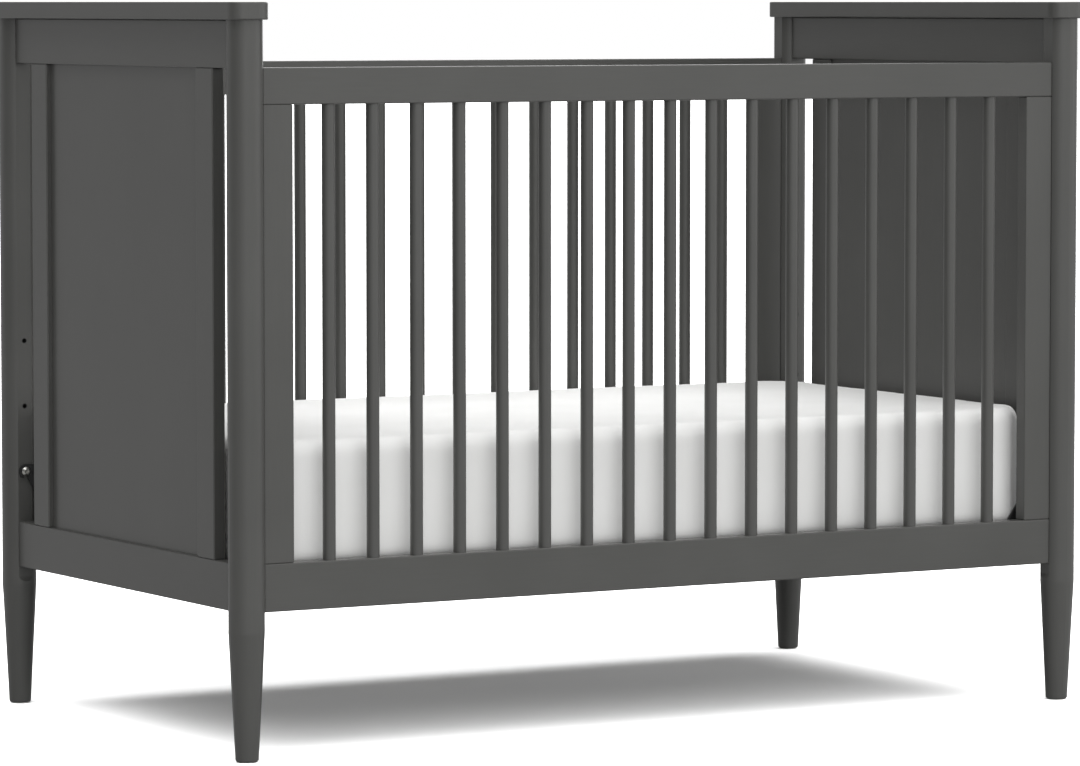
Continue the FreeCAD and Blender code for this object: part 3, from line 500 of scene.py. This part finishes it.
studio = {
    "floorSize": 120.0,   # m
    "floorSeen": 0.93, "floorBounce": 0.17,   # the floor's white to the eye, and what it throws back
    "backdrop": 1.0, "ambient": 0.02,
    "glows": (  # towards, how narrow, how strong
        ((-0.64, 0.77, 0.10), 10.0, 0.75),
        ((-0.87, -0.50, 0.10), 10.0, 0.50),
        ((-0.34, -0.94, 0.10), 10.0, 2.25),
        ((0.34, -0.94, 0.10), 10.0, 1.50),
        ((0.87, -0.50, 0.10), 10.0, 2.05),
        ((0.64, 0.77, 0.10), 10.0, 3.10),
    ),
    "overhead": {"from": (-0.05, -0.15, 1.0), "spread": 70, "strength": 1.0},
    "floorWash": {"from": (-0.12, -0.42, 1.0), "spread": 90, "strength": 2.0},
}

camera = {
    "lens": 181.58, "sensor": 36,   # mm
    "far": 200,                     # m
    "place": (-4.0193, -6.9301, 1.0316),
    "down": 4.002, "turned": 30.118,   # degrees below level, and from straight back towards the right
}


def makeFloor():
    # matt white vinyl, bright to the eye, that throws only part of its light back on the crib
    half = studio["floorSize"] / 2
    corners = [(-half, -half, 0), (half, -half, 0), (half, half, 0), (-half, half, 0)]
    floor = meshObject("studioFloor", corners, [(0, 1, 2, 3)])
    material, tree = newMaterial("paleStudioFloor")
    seen = addNode(tree, "ShaderNodeLightPath")
    tone = addNode(tree, "ShaderNodeMapRange",
                   {"To Min": studio["floorBounce"], "To Max": studio["floorSeen"]},
                   {"Value": seen.outputs["Is Camera Ray"]})
    finishShader(tree, {"Roughness": 1.0, "Specular IOR Level": 0.0}, {"Base Color": tone.outputs["Result"]})
    paint(floor, material)
    return floor


def makeWorld():
    # white behind the crib, and for its light a faint even grey with six wide soft glows round the
    # crib, each amount * max(0, direction . towards) ^ narrow
    world = bpy.data.worlds.new("studio")
    bpy.context.scene.world = world
    world.use_nodes = True
    tree = world.node_tree
    tree.nodes.clear()
    place = addNode(tree, "ShaderNodeTexCoord")
    light = addNode(tree, "ShaderNodeValue").outputs[0]
    light.default_value = studio["ambient"]
    for towards, narrow, amount in studio["glows"]:
        aim = np.array(towards) / np.linalg.norm(towards)
        along = addNode(tree, "ShaderNodeVectorMath", {"operation": "DOT_PRODUCT", 1: aim.tolist()},
                        {0: place.outputs["Generated"]})
        facing = addNode(tree, "ShaderNodeMath", {"operation": "MAXIMUM", 1: 0.0},
                         {0: along.outputs["Value"]})
        glow = addNode(tree, "ShaderNodeMath", {"operation": "POWER", 1: narrow}, {0: facing.outputs[0]})
        light = addNode(tree, "ShaderNodeMath", {"operation": "MULTIPLY_ADD", 1: amount},
                        {0: glow.outputs[0], 2: light}).outputs[0]
    seen = addNode(tree, "ShaderNodeLightPath")
    strength = addNode(tree, "ShaderNodeMapRange", {"To Max": studio["backdrop"]},
                       {"Value": seen.outputs["Is Camera Ray"], "To Min": light})
    background = addNode(tree, "ShaderNodeBackground", {"Color": (1, 1, 1, 1)},
                         {"Strength": strength.outputs["Result"]})
    addNode(tree, "ShaderNodeOutputWorld", links={"Surface": background.outputs["Background"]})


def makeSun(name, onlyOn=None):
    # a wide even light from nearly straight above, as from a ceiling of diffusers, which may fall on
    # the floor alone
    facts = studio[name]
    data = bpy.data.lights.new(name, "SUN")
    data.energy = facts["strength"] * math.pi
    data.angle = math.radians(facts["spread"])
    made = bpy.data.objects.new(name, data)
    x, y, z = facts["from"]
    made.rotation_euler = (math.atan2(math.hypot(x, y), z), 0, math.atan2(x, -y))
    made.location = (x * 4, y * 4, z * 4)
    bpy.context.scene.collection.objects.link(made)
    if onlyOn is not None:
        group = bpy.data.collections.new(name)
        group.objects.link(onlyOn)
        made.light_linking.receiver_collection = group


def makeCamera():
    data = bpy.data.cameras.new("camera")
    data.lens, data.sensor_width = camera["lens"], camera["sensor"]
    data.clip_end = camera["far"]
    made = bpy.data.objects.new("camera", data)
    made.location = camera["place"]
    made.rotation_euler = (math.radians(90 - camera["down"]), 0, math.radians(-camera["turned"]))
    bpy.context.scene.collection.objects.link(made)
    bpy.context.scene.camera = made


studioFloor = makeFloor()
makeWorld()
makeSun("overhead")
makeSun("floorWash", studioFloor)
makeCamera()
bpy.context.scene.view_settings.view_transform = "Standard"
print("studio ready")
